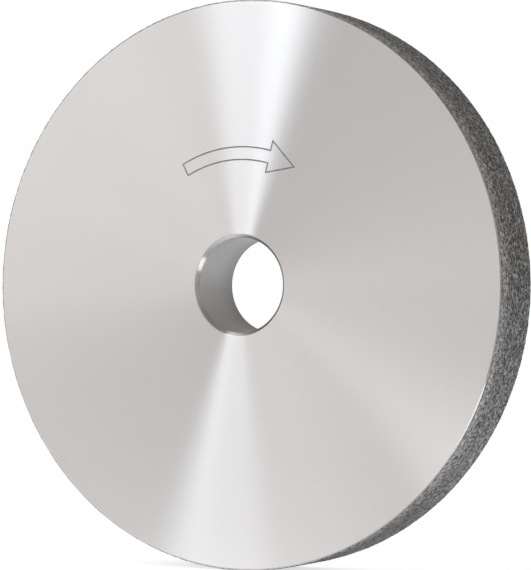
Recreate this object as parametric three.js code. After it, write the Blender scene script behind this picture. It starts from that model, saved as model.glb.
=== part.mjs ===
// Straight diamond grinding wheel: a turned aluminium disc with a plain bore, whose outside carries
// one layer of diamond grit held in electroplated nickel.
//
// Millimetres, +Z up. The origin is the centre of the wheel, the wheel turns about Y, and its marked
// front face looks along -Y.

import * as THREE from "three";

// Driving dimensions.
const wheelDiameter = 152.4; // over the tips of the grit, a 6 inch wheel
const wheelWidth = 19.05; // 3/4 inch
const boreDiameter = 25.4; // 1 inch
const boreChamfer = 1.0; // 45 degrees, where the bore opens in the front face
const boreBreak = 0.2; // 45 degrees, the deburred edge at the bore's back end
const edgeBreak = 0.3; // 45 degrees, at both outer edges of the disc
const gritSize = 0.25; // height of one layer of 60/80 mesh grains
const nickelShare = 0.6; // how much of a grain's height stands in the nickel
const facetsRound = 180; // flats round every turned surface

// Worked out from them.
const boreRadius = boreDiameter / 2;
const tipRadius = wheelDiameter / 2;
const coreRadius = tipRadius - gritSize;
const nickelRadius = coreRadius + nickelShare * gritSize;
const halfWidth = wheelWidth / 2;
const platedHalfWidth = halfWidth - edgeBreak;

// Turns a closed outline about Y. Its points are [radius, place along the axis], and it runs
// anticlockwise, up the outside and down the bore, so that the faces look out of the material.
function turn(outline) {
  const closed = [...outline, outline[0]];
  const points = closed.map(([radius, along]) => new THREE.Vector2(radius, along));
  return new THREE.LatheGeometry(points, facetsRound);
}

function piece(name, geometry, finish) {
  const mesh = new THREE.Mesh(geometry, new THREE.MeshStandardMaterial(finish));
  mesh.name = name;
  return mesh;
}

// The disc: two flat faces, a bore chamfered at the front, and outer edges just broken by a file.
function wheelCore() {
  const outline = [
    [boreRadius, -halfWidth + boreChamfer],
    [boreRadius + boreChamfer, -halfWidth],
    [coreRadius - edgeBreak, -halfWidth],
    [coreRadius, -platedHalfWidth],
    [coreRadius, platedHalfWidth],
    [coreRadius - edgeBreak, halfWidth],
    [boreRadius + boreBreak, halfWidth],
    [boreRadius, halfWidth - boreBreak],
  ];
  return piece("wheel_core", turn(outline), { color: 0xd6d2ce, roughness: 0.3, metalness: 1.0 });
}

// A band plated round the disc, as wide as the disc between its broken edges.
function platedBand(innerRadius, outerRadius) {
  return turn([
    [innerRadius, -platedHalfWidth],
    [outerRadius, -platedHalfWidth],
    [outerRadius, platedHalfWidth],
    [innerRadius, platedHalfWidth],
  ]);
}

// The nickel that the lower part of every grain stands in.
function nickelBond() {
  const band = platedBand(coreRadius, nickelRadius);
  return piece("nickel_bond", band, { color: 0x6a6866, roughness: 0.5, metalness: 1.0 });
}

// The tips of the grains, which stand out of the nickel and do the cutting.
function diamondGrit() {
  const band = platedBand(nickelRadius, tipRadius);
  return piece("diamond_grit", band, { color: 0x4e5052, roughness: 0.6, metalness: 0.0 });
}

const wheel = new THREE.Group();
wheel.add(wheelCore(), nickelBond(), diamondGrit());

export default wheel;
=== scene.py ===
import math

import bpy
import numpy as np
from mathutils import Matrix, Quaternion, Vector


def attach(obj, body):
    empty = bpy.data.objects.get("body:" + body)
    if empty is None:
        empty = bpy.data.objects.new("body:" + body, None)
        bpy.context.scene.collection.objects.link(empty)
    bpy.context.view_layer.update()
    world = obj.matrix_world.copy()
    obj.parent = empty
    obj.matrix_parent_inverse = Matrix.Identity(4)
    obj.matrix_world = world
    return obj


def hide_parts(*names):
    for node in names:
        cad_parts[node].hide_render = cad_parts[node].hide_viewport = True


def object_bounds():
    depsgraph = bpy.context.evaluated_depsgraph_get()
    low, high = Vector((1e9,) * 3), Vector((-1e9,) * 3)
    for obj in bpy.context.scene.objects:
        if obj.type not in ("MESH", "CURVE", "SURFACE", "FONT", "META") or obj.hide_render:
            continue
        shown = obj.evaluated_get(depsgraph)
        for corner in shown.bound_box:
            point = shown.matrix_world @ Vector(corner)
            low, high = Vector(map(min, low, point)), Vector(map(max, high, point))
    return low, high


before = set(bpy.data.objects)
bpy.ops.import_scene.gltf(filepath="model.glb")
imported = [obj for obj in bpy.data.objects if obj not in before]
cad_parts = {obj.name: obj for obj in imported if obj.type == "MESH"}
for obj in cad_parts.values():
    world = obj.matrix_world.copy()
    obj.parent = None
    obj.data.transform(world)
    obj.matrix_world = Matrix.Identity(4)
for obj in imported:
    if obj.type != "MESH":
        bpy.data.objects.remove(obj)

# A straight diamond grinding wheel standing on its rim. Its axle is Y and its marked face looks along -Y.
# Every size is in metres, and the wheel's main sizes come from the frame. Angles round the wheel run
# clockwise from the top, as seen from the front.

scene = bpy.context.scene
cadLow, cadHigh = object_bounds()
mm = 0.001
uvMapName = "OFBake"  # the export bakes into a map of this name, so the metal's grain keeps its direction


# Distance from the axle, and place along it, of every point of a CAD node.
def turnedPoints(node):
    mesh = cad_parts[node].data
    points = np.empty(len(mesh.vertices) * 3)
    mesh.vertices.foreach_get("co", points)
    x, y, z = points.reshape(-1, 3).T
    return np.hypot(x, z), y


coreRadii, coreAlong = turnedPoints("wheel_core")
nickelRadii, nickelAlong = turnedPoints("nickel_bond")
halfWidth = coreAlong.max()
coreRadius = coreRadii.max()
boreRadius = coreRadii.min()
nearly = 0.05 * mm  # points this close to the bore's radius lie on its wall
boreWall = coreAlong[coreRadii < boreRadius + nearly]  # the plain length of the bore, front to back
boreFront, boreBack = boreWall.min(), boreWall.max()
platedHalf = nickelAlong.max()
nickelRadius = nickelRadii.max()
tipRadius = turnedPoints("diamond_grit")[0].max()
grainSize = tipRadius - coreRadius
print("sizes read, mm: bore", round(boreRadius / mm, 2), "core", round(coreRadius / mm, 2),
      "nickel", round(nickelRadius / mm, 2), "tips", round(tipRadius / mm, 2))


# An sRGB hex colour as linear light.
def linearColor(hexCode):
    srgb = np.array([int(hexCode[i:i + 2], 16) for i in (1, 3, 5)]) / 255
    linear = np.where(srgb <= 0.04045, srgb / 12.92, ((srgb + 0.055) / 1.055) ** 2.4)
    return (*linear.tolist(), 1.0)


# Gives a colour ramp its stops, which are pairs of a position and a hex colour.
def setStops(elements, stops):
    while len(elements) < len(stops):
        elements.new(0.5)
    for element, (position, hexCode) in zip(elements, stops):
        element.position = position
        element.color = linearColor(hexCode)


# Adds a node. A key of settings or links that is an input's name or number sets that input, "stops" sets a
# colour ramp's stops, and any other key of settings sets a property of the node.
def addNode(tree, kind, settings=(), links=()):
    node = tree.nodes.new(kind)
    for key, value in dict(settings).items():
        if key == "stops":
            setStops(node.color_ramp.elements, value)
        elif isinstance(key, int) or key in node.inputs:
            node.inputs[key].default_value = value
        else:
            setattr(node, key, value)
    for key, socket in dict(links).items():
        tree.links.new(socket, node.inputs[key])
    return node


def newMaterial(name):
    material = bpy.data.materials.new(name)
    material.use_nodes = True
    material.node_tree.nodes.clear()
    return material, material.node_tree


def finishMaterial(tree, shader):
    addNode(tree, "ShaderNodeOutputMaterial", links={"Surface": shader.outputs[0]})


# Puts arrays into a mesh object: points, faces with the same number of corners each, and one UV per corner.
def meshObject(name, points, faces, uv, smooth=True):
    mesh = bpy.data.meshes.new(name)
    mesh.vertices.add(len(points))
    mesh.vertices.foreach_set("co", points.astype(np.float32).ravel())
    mesh.loops.add(faces.size)
    mesh.loops.foreach_set("vertex_index", faces.astype(np.int32).ravel())
    mesh.polygons.add(len(faces))
    mesh.polygons.foreach_set("loop_start", np.arange(0, faces.size, faces.shape[1], dtype=np.int32))
    mesh.update(calc_edges=True)
    mesh.polygons.foreach_set("use_smooth", np.full(len(faces), smooth))
    layer = mesh.uv_layers.new(name=uvMapName)
    layer.data.foreach_set("uv", uv.astype(np.float32).ravel())
    mesh.validate()
    piece = bpy.data.objects.new(name, mesh)
    scene.collection.objects.link(piece)
    return piece


# Quads between the points of a grid that closes on itself both ways. Row i, column j is point
# i * columns + j. The last row joins the first, and the last column joins the first. With rows that run
# anticlockwise in (radius, along Y) and columns that run clockwise seen from the front, faces look outwards.
def closedGrid(rows, columns):
    i, j = np.meshgrid(np.arange(rows), np.arange(columns), indexing="ij")
    nextI, nextJ = (i + 1) % rows, (j + 1) % columns
    row, nextRow = i * columns, nextI * columns
    faces = np.stack([row + j, row + nextJ, nextRow + nextJ, nextRow + j], -1)
    corners = ((0, 0), (0, 1), (1, 1), (1, 0))
    uv = np.stack([np.stack([(i + a) / rows, (j + b) / columns], -1) for a, b in corners], 2)
    return faces.reshape(-1, 4), uv.reshape(-1, 4, 2)


# Turns an outline about Y: a point at radius r and angle a is (r sin a, y, r cos a).
def turnOutline(radius, along, columns):
    angle = np.arange(columns) * 2 * math.pi / columns
    x = radius[:, None] * np.sin(angle)
    z = radius[:, None] * np.cos(angle)
    y = np.broadcast_to(along[:, None], x.shape)
    return np.stack([x, y, z], -1).reshape(-1, 3)


discSettings = {
    "segments": 360,  # flats round the wheel
    "cornerSteps": 6,  # points in each rounded corner
    "boreCornerRadius": 0.3 * mm,
    "rimCornerRadius": 0.08 * mm,
    "faceRows": 20,  # rows across each flat face
    "etchedSkin": 0.015 * mm,  # the front face stands back by this much, for the mark that stands on it
    "alongShare": 0.7,  # the part of Y that counts in the place along the outline
}


# Rounds the corners of a closed outline: each becomes an arc tangent to both of its sides, with its centre
# on the line that halves the corner. Returns the arcs' points and outward normals, corner by corner.
def roundCorners(corners, radii, steps):
    before = np.roll(corners, 1, axis=0) - corners
    after = np.roll(corners, -1, axis=0) - corners
    before /= np.linalg.norm(before, axis=1, keepdims=True)
    after /= np.linalg.norm(after, axis=1, keepdims=True)
    half = np.arccos(np.clip((before * after).sum(1), -1, 1)) / 2
    middle = before + after
    middle /= np.linalg.norm(middle, axis=1, keepdims=True)
    centre = corners + middle * (radii / np.sin(half))[:, None]
    start = np.stack([-before[:, 1], before[:, 0]], -1)  # the outward normal of the side that arrives
    end = np.stack([after[:, 1], -after[:, 0]], -1)
    turn = np.linspace(0, 1, steps)[None, :, None]
    sweep = (math.pi - 2 * half)[:, None, None]
    normals = np.sin((1 - turn) * sweep) * start[:, None] + np.sin(turn * sweep) * end[:, None]
    normals /= np.sin(sweep)
    return centre[:, None] + normals * radii[:, None, None], normals


# The disc's corners, anticlockwise in (radius, along): bore, front face, rim, back face. Each comes with
# the finish of the run that follows it: 0 faced, 1 cut, 2 bored.
def discCorners():
    front = halfWidth - discSettings["etchedSkin"]
    frontChamfer = front + boreFront
    backChamfer = halfWidth - boreBack
    edge = halfWidth - platedHalf
    return np.array([
        [boreRadius, boreFront, 1],
        [boreRadius + frontChamfer, -front, 0],
        [coreRadius - edge, -front, 1],
        [coreRadius, -platedHalf, 0],
        [coreRadius, platedHalf, 1],
        [coreRadius - edge, halfWidth, 0],
        [boreRadius + backChamfer, halfWidth, 1],
        [boreRadius, boreBack, 2],
    ])


# The outline is turned about Y. Its normals are those of the outline, so that the narrow rounded corners
# catch a line of light. Corners within two bore radii of the axle are the bore's, the others are the rim's.
def turnedDisc():
    s = discSettings
    table = discCorners()
    corners, finishes = table[:, :2], table[:, 2]
    radii = np.where(corners[:, 0] < 2 * boreRadius, s["boreCornerRadius"], s["rimCornerRadius"])
    arcs, arcNormals = roundCorners(corners, radii, s["cornerSteps"])
    across = np.linspace(0, 1, s["faceRows"] + 2)[1:-1, None]
    rows, normals, finish = [], [], []
    for i, following in enumerate(np.roll(arcs[:, 0], -1, axis=0)):
        flatFace = abs(following[0] - arcs[i][-1][0]) > boreRadius  # a flat face gets rows across it too
        fill = across if flatFace else across[:0]
        rows += [arcs[i], arcs[i][-1] * (1 - fill) + following * fill]
        normals += [arcNormals[i], np.repeat(arcNormals[i][-1:], len(fill), 0)]
        finish += [np.full(s["cornerSteps"] + len(fill), finishes[i])]
    outline, outlineNormals, finish = [np.concatenate(part) for part in (rows, normals, finish)]
    points = turnOutline(outline[:, 0], outline[:, 1], s["segments"])
    faces, uv = closedGrid(len(outline), s["segments"])
    disc = meshObject("turned_disc", points, faces, uv)
    pointNormals = turnOutline(outlineNormals[:, 0], outlineNormals[:, 1], s["segments"])
    disc.data.normals_split_custom_set_from_vertices(pointNormals.tolist())
    for material in (facedAluminium(), cutAluminium(), boredAluminium()):
        disc.data.materials.append(material)
    disc.data.polygons.foreach_set("material_index", np.repeat(finish, s["segments"]).astype(np.int32))
    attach(disc, "root")
    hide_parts("wheel_core")
    print("turned disc:", len(faces), "faces")


# Coordinates for a turned surface, from Object coordinates: the place along the outline, which is the
# radius plus a part of Y, and the direction along the outline. Tool marks run round the wheel, so the
# metal's tiny slopes all lie along the outline.
def turningNodes(tree):
    coords = addNode(tree, "ShaderNodeTexCoord").outputs["Object"]
    flat = addNode(tree, "ShaderNodeVectorMath", {"operation": "MULTIPLY", 1: (1, 0, 1)}, {0: coords})
    radius = addNode(tree, "ShaderNodeVectorMath", {"operation": "LENGTH"}, {0: flat.outputs[0]})
    parts = addNode(tree, "ShaderNodeSeparateXYZ", links={0: coords})
    place = addNode(tree, "ShaderNodeMath", {"operation": "MULTIPLY_ADD", 1: discSettings["alongShare"]},
                    {0: parts.outputs["Y"], 2: radius.outputs["Value"]})
    around = addNode(tree, "ShaderNodeVectorMath", {"operation": "CROSS_PRODUCT", 0: (0, 1, 0)}, {1: coords})
    normal = addNode(tree, "ShaderNodeNewGeometry").outputs["Normal"]
    across = addNode(tree, "ShaderNodeVectorMath", {"operation": "CROSS_PRODUCT"},
                     {0: normal, 1: around.outputs[0]})
    tangent = addNode(tree, "ShaderNodeVectorMath", {"operation": "NORMALIZE"}, {0: across.outputs[0]})
    return coords, place.outputs[0], tangent.outputs[0]


# Aluminium turned on a lathe: rings in its height and a little in its colour, and reflections smeared
# across the rings. Specks, where they are wanted, are small dark dots.
def turnedAluminium(name, s):
    material, tree = newMaterial(name)
    coords, place, tangent = turningNodes(tree)
    rings = addNode(tree, "ShaderNodeTexNoise",
                    {"noise_dimensions": "1D", "Scale": 1 / s["ringPitch"], "Detail": 3}, {"W": place})
    ramp = addNode(tree, "ShaderNodeValToRGB", {"stops": ((0.3, s["dark"]), (0.7, s["light"]))},
                   {0: rings.outputs[0]})
    color = ramp.outputs[0]
    if s["speckPitch"]:
        cells = addNode(tree, "ShaderNodeTexVoronoi", {"Scale": 1 / s["speckPitch"]}, {"Vector": coords})
        speckRadius = s["speckRadius"] / s["speckPitch"]  # in cells
        dots = addNode(tree, "ShaderNodeMapRange",
                       {"From Min": speckRadius, "From Max": 0, "To Max": s["speckDepth"]},
                       {"Value": cells.outputs["Distance"]})
        mix = addNode(tree, "ShaderNodeMix", {"data_type": "RGBA", 7: linearColor(s["speckColor"])},
                      {0: dots.outputs[0], 6: color})
        color = mix.outputs[2]
    bump = addNode(tree, "ShaderNodeBump", {"Strength": 1.0, "Distance": s["ringHeight"]},
                   {"Height": rings.outputs[0]})
    shader = addNode(tree, "ShaderNodeBsdfPrincipled",
                     {"Metallic": 1.0, "Roughness": s["roughness"], "Anisotropic": s["anisotropy"]},
                     {"Base Color": color, "Tangent": tangent, "Normal": bump.outputs[0]})
    finishMaterial(tree, shader)
    return material


# Aluminium faced on a lathe: bright and a little warm. Its fine rings smear every reflection along the
# radius, which gives the eye fans of light that start at the bore.
def facedAluminium():
    return turnedAluminium("facedAluminium", {
        "light": "#e7e6e5",
        "dark": "#e6e5e4",
        "roughness": 0.31,
        "anisotropy": 1.0,
        "ringPitch": 0.9 * mm,  # real feed marks are about 0.1 mm apart, drawn coarse so that they just show
        "ringHeight": 0.0001 * mm,
        "speckPitch": 14 * mm,  # a few pits and specks of dirt
        "speckRadius": 0.35 * mm,
        "speckDepth": 0.5,
        "speckColor": "#6f6a66",
    })


# Aluminium cut by one pass of a tool at the chamfer and the broken edges: shinier than the faces, so each
# edge shows as a line with crisp bright and dark stretches.
def cutAluminium():
    return turnedAluminium("cutAluminium", {
        "light": "#e2e1e0",
        "dark": "#d2d1d0",
        "roughness": 0.2,
        "anisotropy": 0.7,
        "ringPitch": 0.3 * mm,
        "ringHeight": 0.001 * mm,
        "speckPitch": 0,  # no specks
    })


# Aluminium bored and reamed: smooth but dull. Its colour darkens towards the back of the hole, a painted
# shade deep in the bore.
def boredAluminium():
    material, tree = newMaterial("boredAluminium")
    coords = addNode(tree, "ShaderNodeTexCoord").outputs["Object"]
    parts = addNode(tree, "ShaderNodeSeparateXYZ", links={0: coords})
    depth = addNode(tree, "ShaderNodeMapRange", {"From Min": boreFront, "From Max": boreBack},
                    {"Value": parts.outputs["Y"]})
    # painted shade: the wall's colour runs from light at the front of the bore to dark at its back
    stops = ((0.0, "#b4b5b6"), (0.6, "#a4a5a6"), (1.0, "#8c8d8e"))
    color = addNode(tree, "ShaderNodeValToRGB", {"stops": stops}, {0: depth.outputs[0]})
    shader = addNode(tree, "ShaderNodeBsdfPrincipled", {"Metallic": 1.0, "Roughness": 0.5},
                     {"Base Color": color.outputs[0]})
    finishMaterial(tree, shader)
    return material


arrowSettings = {
    "radius": 35.2 * mm,  # of the arrow's middle line, about the axle
    "bodyWidth": 3.4 * mm,
    "headWidth": 8.6 * mm,
    "tail": -28,  # degrees from the top
    "neck": 15,
    "tip": 28,
    "line": 0.36 * mm,
    "depth": 0.03 * mm,  # half of the etched skin stands on the face, half lies in it
    "arcSteps": 40,
    "cloudSize": 1.5 * mm,  # lighter and darker clouds in the etched skin
}


# The outline of an arrow that bends round the axle: out along the outer arc, round the head, back along
# the inner arc. Returned as points (x, z), clockwise seen from the front.
def arrowPath():
    s = arrowSettings
    body = np.radians(np.linspace(s["tail"], s["neck"], s["arcSteps"]))
    head = np.radians([s["neck"], s["tip"], s["neck"]])
    angle = np.concatenate([body, head, body[::-1]])
    outer = np.full(s["arcSteps"], s["radius"] + s["bodyWidth"] / 2)
    inner = np.full(s["arcSteps"], s["radius"] - s["bodyWidth"] / 2)
    headRadii = s["radius"] + s["headWidth"] / 2 * np.array([1, 0, -1])
    radius = np.concatenate([outer, headRadii, inner])
    return np.stack([radius * np.sin(angle), radius * np.cos(angle)], -1)


# A mark that shows which way the wheel turns: a thin rectangular line carried along the arrow's closed
# outline. At each point the line is mitred: it is shifted along the sum of both sides' normals, divided by
# one plus their product, so that its width stays the same round the corners.
def turningArrow():
    s = arrowSettings
    path = arrowPath()
    side = np.roll(path, -1, axis=0) - path
    side /= np.linalg.norm(side, axis=1, keepdims=True)
    normal = np.stack([-side[:, 1], side[:, 0]], -1)
    previous = np.roll(normal, 1, axis=0)
    mitre = (normal + previous) / (1 + (normal * previous).sum(1, keepdims=True))
    section = np.array([[-0.5, 0], [0.5, 0], [0.5, 1], [-0.5, 1]])  # across the line, and into the metal
    flat = path[None] + mitre[None] * section[:, :1, None] * s["line"]
    along = np.broadcast_to(-halfWidth + section[:, 1:] * s["depth"], flat.shape[:2])
    points = np.stack([flat[..., 0], along, flat[..., 1]], -1)
    faces, uv = closedGrid(len(section), len(path))
    arrow = meshObject("turning_arrow", points.reshape(-1, 3), faces, uv, smooth=False)
    arrow.data.materials.append(etchedAluminium())
    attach(arrow, "root")
    print("turning arrow:", len(faces), "faces")


# Aluminium etched by acid through a stencil: a dull grey skin with no tool marks, a little uneven.
def etchedAluminium():
    material, tree = newMaterial("etchedAluminium")
    coords = addNode(tree, "ShaderNodeTexCoord").outputs["Object"]
    cloud = addNode(tree, "ShaderNodeTexNoise", {"Scale": 1 / arrowSettings["cloudSize"], "Detail": 2},
                    {"Vector": coords})
    stops = ((0.35, "#7c7977"), (0.65, "#989593"))
    color = addNode(tree, "ShaderNodeValToRGB", {"stops": stops}, {0: cloud.outputs[0]})
    shader = addNode(tree, "ShaderNodeBsdfPrincipled", {"Metallic": 0.6, "Roughness": 0.6},
                     {"Base Color": color.outputs[0]})
    finishMaterial(tree, shader)
    return material


# Patches that repeat round the wheel without a seam: the sum of many plane waves of about one wavelength,
# which run in all directions over the rolled-out rim, scaled so that their spread is about 1.
def patches(angle, along, wavelength, seed, waves=48):
    random = np.random.default_rng(seed)
    heading = random.uniform(0, 2 * math.pi, waves)
    length = wavelength * random.uniform(0.7, 1.4, waves)
    # a whole number of waves fits round the rim
    roundWaves = np.round(2 * math.pi * tipRadius / length * np.cos(heading))
    alongWaves = 2 * math.pi / length * np.sin(heading)
    phase = random.uniform(0, 2 * math.pi, waves)
    height = np.cos(angle[..., None] * roundWaves + along[..., None] * alongWaves + phase)
    return height.sum(-1) * math.sqrt(2 / waves)


nickelSettings = {
    "columns": 1200,
    "rows": 46,
    "pebble": 0.035 * mm,  # how far its skin goes up and down, point by point
    "keyed": 0.02 * mm,  # how far its inside reaches into the disc's rim
    "seed": 11,
    "shade": (-0.6, -0.22),  # how dark it is at the front edge and inside, added to the mottling; the darker inside is painted shade between the grains
    "shadeEdge": (2 * mm, 8 * mm),  # where the one starts and stops turning into the other
    "shadeWander": 4 * mm,  # how far that border strays
    "wanderSize": 1.2 * mm,
    "mottling": 2.0,  # how strongly the spots count
    "spotSize": 0.9 * mm,
}


# A closed band: its outside stands at nickelRadius, with every point raised or lowered at random, by at
# most twice the pebble.
def nickelBand():
    s = nickelSettings
    random = np.random.default_rng(s["seed"])
    inside = coreRadius - s["keyed"]
    radius = np.concatenate([[inside], np.full(s["rows"], nickelRadius), [inside]])
    along = np.concatenate([[-platedHalf], np.linspace(-platedHalf, platedHalf, s["rows"]), [platedHalf]])
    points = turnOutline(radius, along, s["columns"]).reshape(len(radius), s["columns"], 3)
    lift = random.normal(0, s["pebble"], (s["rows"], s["columns"])).clip(-2 * s["pebble"], 2 * s["pebble"])
    points[1:-1, :, [0, 2]] *= (1 + lift / nickelRadius)[..., None]
    faces, uv = closedGrid(len(radius), s["columns"])
    band = meshObject("nickel_plating", points.reshape(-1, 3), faces, uv)
    band.data.materials.append(platedNickel())
    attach(band, "root")
    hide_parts("nickel_bond")
    print("nickel band:", len(faces), "faces")


# Matt electroplated nickel: a grey metal with mottling, lighter towards the front edge, where it is thick
# and has few grains in it, and darker everywhere else, where its colour is painted with the shade between
# the grains.
def platedNickel():
    s = nickelSettings
    material, tree = newMaterial("platedNickel")
    coords = addNode(tree, "ShaderNodeTexCoord").outputs["Object"]
    clouds = addNode(tree, "ShaderNodeTexNoise", {"Scale": 1 / s["wanderSize"], "Detail": 3},
                     {"Vector": coords})
    parts = addNode(tree, "ShaderNodeSeparateXYZ", links={0: coords})
    wander = addNode(tree, "ShaderNodeMath", {"operation": "MULTIPLY_ADD", 1: s["shadeWander"]},
                     {0: clouds.outputs[0], 2: parts.outputs["Y"]})
    start, full = [place - platedHalf for place in s["shadeEdge"]]
    # painted shade: the nickel's colour is darker inside the grit than along its front edge, where few
    # grains stand
    shade = addNode(tree, "ShaderNodeMapRange",
                    {"From Min": start, "From Max": full, "To Min": s["shade"][0], "To Max": s["shade"][1]},
                    {"Value": wander.outputs[0]})
    spots = addNode(tree, "ShaderNodeTexNoise", {"Scale": 1 / s["spotSize"], "Detail": 1},
                    {"Vector": coords})
    mottledAndShaded = addNode(tree, "ShaderNodeMath", {"operation": "MULTIPLY_ADD", 1: s["mottling"]},
                      {0: spots.outputs[0], 2: shade.outputs[0]})
    stops = ((0.1, "#c5c6c7"), (0.4, "#9a9b9c"), (0.75, "#6a6b6c"), (1.0, "#2b2c2d"))
    color = addNode(tree, "ShaderNodeValToRGB", {"stops": stops}, {0: mottledAndShaded.outputs[0]})
    shader = addNode(tree, "ShaderNodeBsdfPrincipled", {"Metallic": 1.0, "Roughness": 0.5},
                     {"Base Color": color.outputs[0]})
    finishMaterial(tree, shader)
    return material


grainSettings = {
    "sectors": 4,  # the ring of grains is made in this many pieces
    "pitch": 0.68 * mm,  # from grain to grain, coarser than the real 0.3 mm so that the grains show
    "breadth": 3.0,  # a grain's breadth, in heights of the layer
    "wornTop": 0.24,  # half the diagonal of its worn top, in breadths
    "girdle": 0.1,  # how far its widest part is above its middle, in heights
    "jitter": 0.36,  # how far a grain strays from its place, in pitches
    "sizeSpread": 0.25,
    "shapeSpread": 0.1,  # how far each corner strays, in grain sizes
    "tilt": 0.4,  # radians, the most that a grain leans
    "tipSpread": 0.4,  # how much lower than the wheel's radius a tip may be, in heights of the layer
    "tipGap": 0.02,  # the least that it is lower, as a part of that
    "missing": 0.07,  # share of the grains that have broken out
    "bareWidth": 5.5 * mm,  # the front strip where few grains took, at its widest
    "bareMiddle": 60,  # degrees from the top, where it is widest; it fades out on the opposite side
    "bareWander": 0.9 * mm,  # how far the strip's border strays
    "wanderSize": 6 * mm,  # from one stray to the next
    "bareShare": 0.5,  # share of the grains that are there all the same
    "tone": 0.48,  # how light a grain is on average, from 0 to 1
    "toneSpread": 0.14,  # from grain to grain
    "patchSpread": 0.12,  # from patch to patch
    "bareTone": 0.2,  # how much lighter the grains in the bare strip are
    "patchSize": 1.1 * mm,  # lighter and darker patches in the grit, which are longer along the axle
    "patchStretch": 1.6,
    "patchSeed": 55,
    "seed": 5,
}


# One crystal: an octahedron whose top is worn to a small square. Corners 0-3 are the square, 4-7 the
# widest part and 8 the bottom. Its height and breadth are 1.
def crystal():
    turn = np.arange(4) * math.pi / 2
    square = np.stack([np.cos(turn), np.sin(turn), np.zeros(4)], -1)
    top = grainSettings["wornTop"] * square + [0, 0, 0.5]
    widest = 0.5 * square + [0, 0, grainSettings["girdle"]]
    points = np.concatenate([top, widest, [[0, 0, -0.5]]])
    faces = [[0, 1, 2], [0, 2, 3]]
    for i in range(4):
        j = (i + 1) % 4
        faces += [[4 + i, 4 + j, i], [4 + j, j, i], [8, 4 + j, 4 + i]]
    return points, np.array(faces)


# Rotation matrices from rows of three angles, about X, Y and Z. Their product turns a point about Z first,
# then about Y, then about X.
def rotations(angles):
    c, s = np.cos(angles), np.sin(angles)
    zero, one = np.zeros(len(angles)), np.ones(len(angles))
    aboutX = np.stack([one, zero, zero, zero, c[:, 0], -s[:, 0], zero, s[:, 0], c[:, 0]], -1)
    aboutY = np.stack([c[:, 1], zero, s[:, 1], zero, one, zero, -s[:, 1], zero, c[:, 1]], -1)
    aboutZ = np.stack([c[:, 2], -s[:, 2], zero, s[:, 2], c[:, 2], zero, zero, zero, one], -1)
    return aboutX.reshape(-1, 3, 3) @ aboutY.reshape(-1, 3, 3) @ aboutZ.reshape(-1, 3, 3)


# Where one sector's grains sit, as angle and place along the axle, and how light each is: a grid whose
# places each stray a little, less the grains that broke out and many in the bare strip along the front edge.
def grainPlaces(index, random):
    s = grainSettings
    sector = 2 * math.pi / s["sectors"]
    columns = round(sector * tipRadius / s["pitch"])
    rows = round(2 * platedHalf / s["pitch"])
    i, j = np.meshgrid(np.arange(rows), np.arange(columns), indexing="ij")
    strayI, strayJ = random.uniform(-s["jitter"], s["jitter"], (2, rows, columns))
    angle = (index + (j + 0.5 * (i % 2) + strayJ) / columns) * sector
    along = (2 * (i + 0.5 + strayI) / rows - 1) * (platedHalf - s["breadth"] * grainSize / 2)
    width = s["bareWidth"] * (0.5 + 0.5 * np.cos(angle - math.radians(s["bareMiddle"])))
    border = -platedHalf + width + s["bareWander"] * patches(angle, along, s["wanderSize"], s["seed"])
    bare = along < border
    kept = random.uniform(0, 1, angle.shape) < np.where(bare, s["bareShare"], 1 - s["missing"])
    patch = patches(angle, along / s["patchStretch"], s["patchSize"], s["patchSeed"])
    tone = s["tone"] + s["bareTone"] * bare + s["patchSpread"] * patch
    tone += random.normal(0, s["toneSpread"], angle.shape)
    return angle[kept], along[kept], tone[kept]


# One sector of the ring: crystals of uneven size and shape, turned and tilted at random. A crystal's own Z
# is laid along the wheel's radius, so that its highest corner is at its tip's radius, its Y along the axle,
# and its X round the rim: a corner's angle is its place's angle plus X over the corner's radius.
def grainSector(index, material):
    s = grainSettings
    random = np.random.default_rng(s["seed"] + index)
    angle, along, tone = grainPlaces(index, random)
    count = len(angle)
    unit, unitFaces = crystal()
    size = grainSize * np.array([s["breadth"], s["breadth"], 1])
    scale = size * (1 + random.uniform(-s["sizeSpread"], s["sizeSpread"], (count, 1, 3)))
    local = (unit + random.normal(0, s["shapeSpread"], (count, len(unit), 3))) * scale
    lean = random.uniform(-s["tilt"], s["tilt"], (count, 2))
    spin = random.uniform(0, 2 * math.pi, (count, 1))
    local = np.einsum("nij,nkj->nki", rotations(np.concatenate([lean, spin], 1)), local)
    tip = tipRadius - grainSize * s["tipSpread"] * random.uniform(s["tipGap"], 1, count)
    height = local[..., 2] - local[..., 2].max(1)[:, None] + tip[:, None]
    theta = angle[:, None] + local[..., 0] / height
    y = (along[:, None] + local[..., 1]).clip(-platedHalf, platedHalf)
    points = np.stack([height * np.sin(theta), y, height * np.cos(theta)], -1).reshape(-1, 3)
    faces = (unitFaces[None] + (np.arange(count) * len(unit))[:, None, None]).reshape(-1, 3)
    sector = 2 * math.pi / s["sectors"]
    uv = np.stack([(theta / sector - index).ravel(), (y.ravel() / platedHalf + 1) / 2], -1).clip(0, 1)
    piece = meshObject(f"diamond_grains_{index + 1}", points, faces, uv[faces], smooth=False)
    layer = piece.data.attributes.new("tone", "FLOAT", "POINT")
    layer.data.foreach_set("value", np.repeat(tone.clip(0, 1), len(unit)).astype(np.float32))
    piece.data.materials.append(material)
    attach(piece, "root")
    return piece


def diamondGrains():
    material = syntheticDiamond()
    pieces = [grainSector(index, material) for index in range(grainSettings["sectors"])]
    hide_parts("diamond_grit")
    print("diamond grains:", sum(len(piece.data.polygons) for piece in pieces), "faces")


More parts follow.
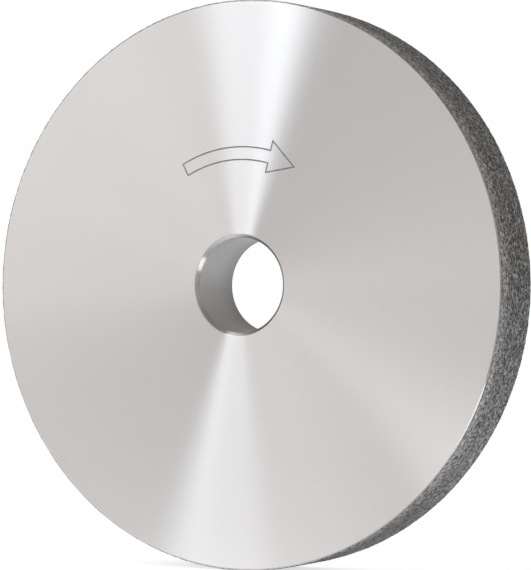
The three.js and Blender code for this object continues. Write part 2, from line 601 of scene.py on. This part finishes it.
# Synthetic diamond grit: grey crystals with glassy facets. The tone of each grain comes from its own
# attribute: most are mid grey, a few nearly black or bright.
def syntheticDiamond():
    material, tree = newMaterial("syntheticDiamond")
    tone = addNode(tree, "ShaderNodeAttribute", {"attribute_name": "tone"})
    stops = ((0.0, "#0e0f10"), (0.35, "#444647"), (0.6, "#757778"), (0.85, "#afb1b2"), (1.0, "#eceded"))
    color = addNode(tree, "ShaderNodeValToRGB", {"stops": stops}, {0: tone.outputs["Fac"]})
    shader = addNode(tree, "ShaderNodeBsdfPrincipled", {"Roughness": 0.35, "IOR": 1.8},
                     {"Base Color": color.outputs[0]})
    finishMaterial(tree, shader)
    return material


cameraSettings = {
    "azimuth": 28.59,  # degrees round to the wheel's right
    "elevation": -0.41,
    "distance": 0.7111,  # to the middle of the front face, along the line of sight
    "aside": 0.00703,  # the aim is this far right of the face's middle
    "lens": 168.36,
    "sensor": 36,
    "nearest": 10 * mm,  # nothing nearer than this is drawn
}


# A camera that looks past the middle of the front face, a little to its right.
def makeCamera():
    s = cameraSettings
    azimuth, elevation = math.radians(s["azimuth"]), math.radians(s["elevation"])
    back = np.array([math.sin(azimuth) * math.cos(elevation), -math.cos(azimuth) * math.cos(elevation),
                     math.sin(elevation)])
    right = np.array([math.cos(azimuth), math.sin(azimuth), 0])
    data = bpy.data.cameras.new("camera")
    data.lens = s["lens"]
    data.sensor_width = s["sensor"]
    data.clip_start = s["nearest"]
    camera = bpy.data.objects.new("camera", data)
    camera.location = np.array([0, -halfWidth, 0]) + s["aside"] * right + s["distance"] * back
    camera.rotation_euler = (math.pi / 2 - elevation, 0, azimuth)
    scene.collection.objects.link(camera)
    scene.camera = camera
    print("camera placed")


# Each softbox, and the card, stands upright on the side that it faces. Its edges are given as seen from the
# wheel, in degrees: azimuths from straight in front, positive to the right, and elevations. Then it is
# turned by its roll, whose positive sense takes its top to the left.
studioSettings = {
    "fillLeft": 0.735,  # brightness of the walls round the wheel, on its left and on its right
    "fillRight": 0.38,
    "fillTint": "#fff8f3",
    "backdrop": 0.76,  # brightness of the wall behind the wheel
    "backdropEdge": (0.0, 0.4),  # where it starts and where it is full, as a part of +Y
    "ceiling": 0.5,  # brightness straight above, as a share of the walls'
    "ceilingEdge": (0.2, 0.9),  # where it starts and where it is full, as a part of +Z
    "softboxes": {
        "keyBox": {"facing": -62, "azimuths": (-100, -28), "elevations": (-1.5, 74), "roll": 0,
                   "distance": 2.5, "radiance": 0.72, "tint": "#ffffff"},
        "stripBox": {"facing": -34, "azimuths": (-30, -24.2), "elevations": (29.5, 56.4), "roll": 0,
                     "distance": 2.1, "radiance": 8.5, "tint": "#eff5ff"},
        "slantedBox": {"facing": -45, "azimuths": (-48.2, -40.8), "elevations": (15.7, 56.3), "roll": 31.3,
                       "distance": 2.05, "radiance": 2.7, "tint": "#eff5ff"},
    },
    # a card behind the two narrow boxes, so that the bright fans on the wheel's face get dark borders
    "card": {"facing": -34, "azimuths": (-47.8, -7.8), "elevations": (27.2, 63.4), "roll": -17.8,
             "distance": 2.2},
    # small panels just over the table at the wheel's right: one in front of it, which shows in its cut
    # edges, and one beside it, which lights the lower part of its rim
    "panels": {
        "edgePanel": {"place": (0.105, -0.068), "size": (0.1, 0.085), "radiance": 1.0, "tint": "#ffffff"},
        "rimPanel": {"place": (0.15, 0.07), "size": (0.2, 0.1), "radiance": 0.5, "tint": "#ffffff"},
    },
    "panelHeight": 2 * mm,
}


# A flat light of the given size and brightness, which shines one way only and is hidden from the camera.
def flatLight(name, place, shining, roll, width, height, radiance, tint):
    data = bpy.data.lights.new(name, "AREA")
    data.shape = "RECTANGLE"
    data.size, data.size_y = width, height
    data.energy = radiance * math.pi * width * height
    data.color = linearColor(tint)[:3]
    light = bpy.data.objects.new(name, data)
    light.location = place
    look = Vector(shining).to_track_quat("-Z", "Y") @ Quaternion((0, 0, 1), math.radians(roll))
    light.rotation_euler = look.to_euler()
    light.visible_camera = False
    scene.collection.objects.link(light)


# Where a softbox or the card stands: its middle, the directions out to it and across it, and its size. The
# tangent of an edge's angle, times the distance, is how far the edge is from straight out.
def standing(s):
    facing = math.radians(s["facing"])
    sides = [s["distance"] * math.tan(math.radians(azimuth - s["facing"])) for azimuth in s["azimuths"]]
    heights = [s["distance"] * math.tan(math.radians(elevation)) for elevation in s["elevations"]]
    outward = np.array([math.sin(facing), -math.cos(facing), 0])
    aside = np.array([math.cos(facing), math.sin(facing), 0])
    middle = s["distance"] * outward + aside * sum(sides) / 2 + np.array([0, 0, sum(heights) / 2])
    return middle, outward, aside, sides[1] - sides[0], heights[1] - heights[0]


def softbox(name, s):
    middle, outward, aside, width, height = standing(s)
    flatLight(name, middle, -outward, s["roll"], width, height, s["radiance"], s["tint"])


# A rectangle turned by its roll about the line out to it, and hidden from the camera.
def blackCard(s):
    middle, outward, aside, width, height = standing(s)
    roll = math.radians(s["roll"])
    up = np.array([0, 0, 1])
    halfAcross = (math.cos(roll) * aside + math.sin(roll) * up) * width / 2
    halfUp = (math.cos(roll) * up - math.sin(roll) * aside) * height / 2
    corners = np.array([[-1, -1], [1, -1], [1, 1], [-1, 1]])
    points = middle + corners[:, :1] * halfAcross + corners[:, 1:] * halfUp
    card = meshObject("black_card", points, np.array([[0, 1, 2, 3]]), (corners + 1) / 2)
    card.data.materials.append(blackFlock())
    card.visible_camera = False


# Black flock paper: it gives back almost no light.
def blackFlock():
    material, tree = newMaterial("blackFlock")
    shader = addNode(tree, "ShaderNodeBsdfDiffuse", {"Color": linearColor("#101010")})
    finishMaterial(tree, shader)
    return material


# Walls that light the wheel softly, and show white behind it. Their brightness runs evenly from left to
# right, blends into the backdrop's behind the wheel, and falls towards the ceiling. In them stand the
# softboxes, the card and the panels.
def makeStudio():
    s = studioSettings
    world = bpy.data.worlds.new("studio")
    world.use_nodes = True
    tree = world.node_tree
    tree.nodes.clear()
    direction = addNode(tree, "ShaderNodeTexCoord").outputs["Generated"]
    parts = addNode(tree, "ShaderNodeSeparateXYZ", links={0: direction})
    fill = addNode(tree, "ShaderNodeMapRange", {"From Min": -1, "From Max": 1, "To Min": s["fillLeft"],
                                                "To Max": s["fillRight"]}, {"Value": parts.outputs["X"]})
    behind = addNode(tree, "ShaderNodeMapRange",
                     {"interpolation_type": "SMOOTHSTEP", "From Min": s["backdropEdge"][0],
                      "From Max": s["backdropEdge"][1]}, {"Value": parts.outputs["Y"]})
    walls = addNode(tree, "ShaderNodeMix", {"B": s["backdrop"]},
                    {"Factor": behind.outputs[0], "A": fill.outputs[0]})
    above = addNode(tree, "ShaderNodeMapRange",
                    {"interpolation_type": "SMOOTHSTEP", "From Min": s["ceilingEdge"][0],
                     "From Max": s["ceilingEdge"][1], "To Min": 1.0, "To Max": s["ceiling"]},
                    {"Value": parts.outputs["Z"]})
    strength = addNode(tree, "ShaderNodeMath", {"operation": "MULTIPLY"},
                       {0: walls.outputs[0], 1: above.outputs[0]})
    lit = addNode(tree, "ShaderNodeBackground", {"Color": linearColor(s["fillTint"])},
                  {"Strength": strength.outputs[0]})
    seen = addNode(tree, "ShaderNodeBackground", {"Color": linearColor("#ffffff")})
    ray = addNode(tree, "ShaderNodeLightPath")
    mix = addNode(tree, "ShaderNodeMixShader",
                  links={0: ray.outputs["Is Camera Ray"], 1: lit.outputs[0], 2: seen.outputs[0]})
    addNode(tree, "ShaderNodeOutputWorld", links={0: mix.outputs[0]})
    scene.world = world
    for name, box in s["softboxes"].items():
        softbox(name, box)
    blackCard(s["card"])
    for name, panel in s["panels"].items():
        place = (*panel["place"], cadLow[2] + s["panelHeight"])
        flatLight(name, place, (0, 0, 1), 0, *panel["size"], panel["radiance"], panel["tint"])
    print("studio lit:", len(s["softboxes"]), "softboxes, a card and", len(s["panels"]), "panels")


floorSettings = {
    "reach": 8.0,
    "color": "#dfe0e2",
    "glow": 0.66,  # brightness of the lamps under it
    "towards": (-0.7, 0.7, 0),  # the lamps are on this side, to the left of the wheel and behind it
    "fade": (-0.09, 0.05),  # where the glow starts and where it is full, measured that way
}


# A flat table that the wheel stands on.
def makeFloor():
    s = floorSettings
    corners = np.array([[-1, -1, 0], [1, -1, 0], [1, 1, 0], [-1, 1, 0]])
    points = corners * s["reach"] + [0, 0, cadLow[2]]
    uv = (corners[:, :2] + 1) / 2
    floor = meshObject("floor", points, np.array([[0, 1, 2, 3]]), uv)
    floor.data.materials.append(opalAcrylic())
    print("floor laid")


# Opal acrylic lit from below: a white matt sheet. Its glow lights the wheel from behind and from the left,
# but the camera sees it evenly bright all over.
def opalAcrylic():
    s = floorSettings
    material, tree = newMaterial("opalAcrylic")
    coords = addNode(tree, "ShaderNodeTexCoord").outputs["Object"]
    behind = addNode(tree, "ShaderNodeVectorMath", {"operation": "DOT_PRODUCT", 1: s["towards"]},
                     {0: coords})
    glow = addNode(tree, "ShaderNodeMapRange",
                   {"interpolation_type": "SMOOTHSTEP", "From Min": s["fade"][0], "From Max": s["fade"][1],
                    "To Max": s["glow"]}, {"Value": behind.outputs["Value"]})
    ray = addNode(tree, "ShaderNodeLightPath").outputs["Is Camera Ray"]
    shown = addNode(tree, "ShaderNodeMix", {"B": s["glow"]}, {"Factor": ray, "A": glow.outputs[0]})
    shader = addNode(tree, "ShaderNodeBsdfPrincipled",
                     {"Base Color": linearColor(s["color"]), "Roughness": 0.7,
                      "Emission Color": linearColor("#ffffff")},
                     {"Emission Strength": shown.outputs[0]})
    finishMaterial(tree, shader)
    return material


makeCamera()
makeStudio()
makeFloor()
turnedDisc()
turningArrow()
nickelBand()
diamondGrains()
scene.view_settings.view_transform = "Standard"
